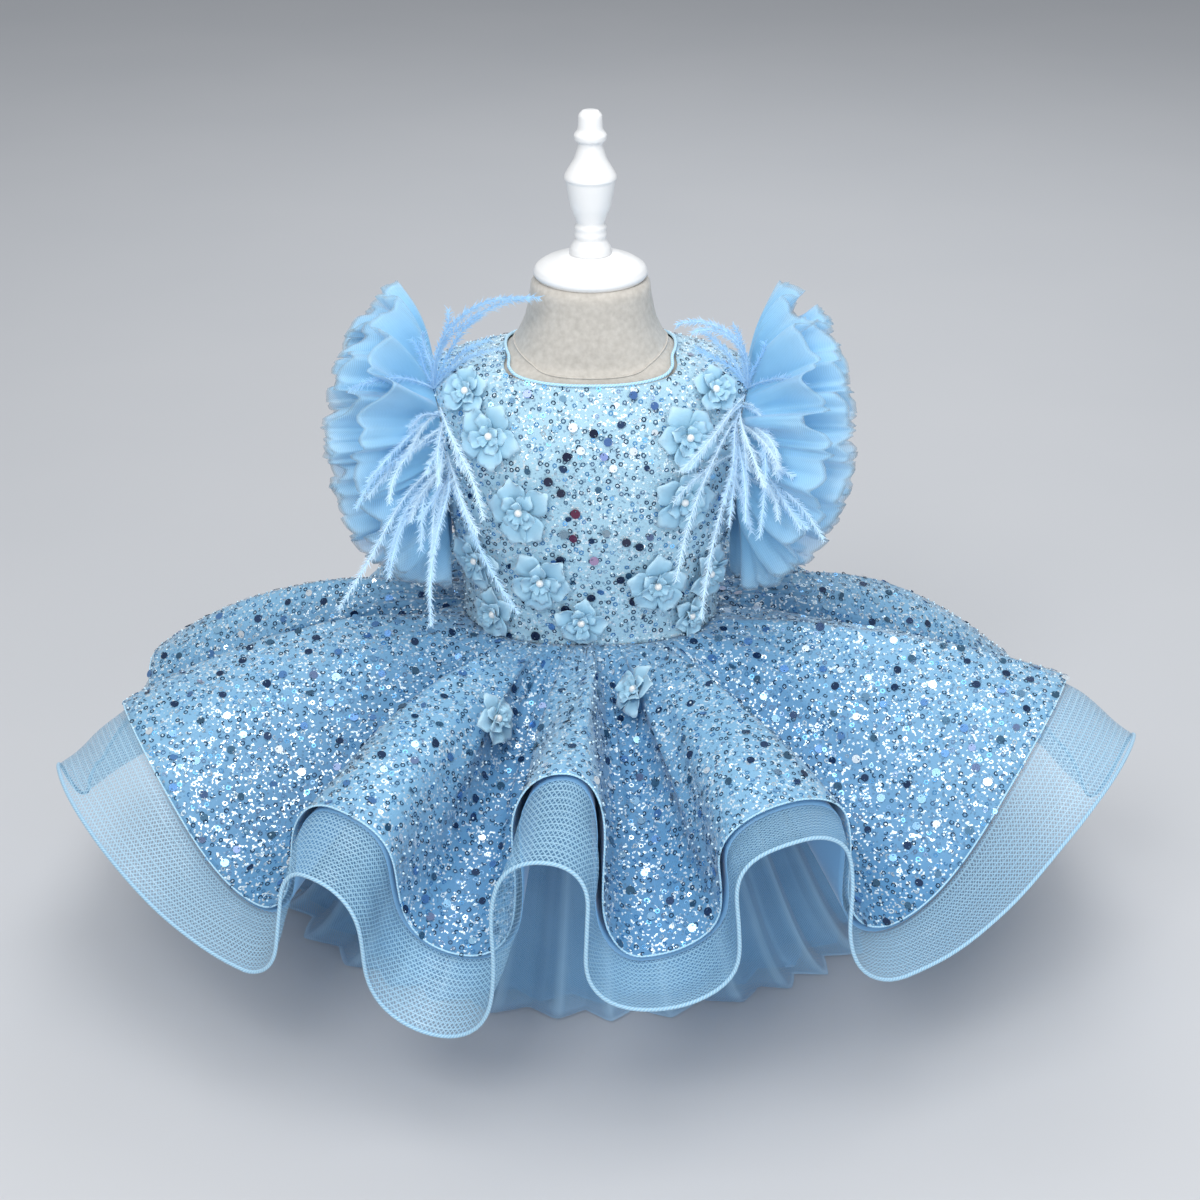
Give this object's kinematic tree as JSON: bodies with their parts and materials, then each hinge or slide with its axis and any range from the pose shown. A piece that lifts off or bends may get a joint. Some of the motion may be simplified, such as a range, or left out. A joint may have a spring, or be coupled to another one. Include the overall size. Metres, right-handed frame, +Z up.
{
  "type": "feather dress on dress form",
  "caption": "Sleeveless child's party dress with beaded bodice, fanned tulle sleeves, feather tufts and a fluted net skirt with a corded hem, on a limbless dress form.",
  "frame": {"origin": "centre of the dress form's flat base, on the floor", "axes": "+Z up; the dress's front faces -Y; +X is to the right of a person who looks at the front"},
  "size_m": [0.8127, 0.7277, 0.6362],
  "materials": {
    "linen": "matt woven linen",
    "painted_wood": "white satin paint",
    "sequinned_net": "sheer net with sequins and beads",
    "satin": "soft sheen",
    "horsehair_braid": "stiff open mesh with a corded edge",
    "tulle": "matt sheer net",
    "feather": "dyed plume",
    "chiffon": "sheer matt chiffon",
    "enamelled_metal": "blue enamel"
  },
  "bodies": {
    "dress": {"bodice_front": "sequinned_net", "bodice_back_left": "sequinned_net", "bodice_back_right": "sequinned_net", "neck_binding": "satin", "overskirt_front": "sequinned_net", "overskirt_back_left": "sequinned_net", "overskirt_back_right": "sequinned_net", "underskirt_front": "satin", "underskirt_back_left": "satin", "underskirt_back_right": "satin", "horsehair_band_front": "horsehair_braid", "horsehair_band_back_left": "horsehair_braid", "horsehair_band_back_right": "horsehair_braid", "petticoat": "tulle", "sleeve_left_inner": "tulle", "sleeve_left_middle": "tulle", "sleeve_left_outer": "tulle", "sleeve_right_inner": "tulle", "sleeve_right_middle": "tulle", "sleeve_right_outer": "tulle", "feathers_left": "feather", "feathers_right": "feather", "flower_01": "chiffon", "flower_02": "chiffon", "flower_03": "chiffon", "flower_04": "chiffon", "flower_05": "chiffon", "flower_06": "chiffon", "flower_07": "chiffon", "flower_08": "chiffon", "flower_09": "chiffon", "flower_10": "chiffon", "flower_11": "chiffon", "flower_12": "chiffon", "flower_13": "chiffon", "form_torso": "linen", "form_neck_cap": "painted_wood", "form_finial": "painted_wood", "zip_slider": "enamelled_metal"},
    "pull_tab": {"zip_pull_tab": "enamelled_metal"}
  },
  "joints": [
    {"name": "pull_tab_hinge", "type": "hinge", "parent": "dress", "child": "pull_tab", "pos_m": [0, 0.07046, 0.43109], "axis": [1, 0, 0], "range_deg": [0, 120]}
  ]
}
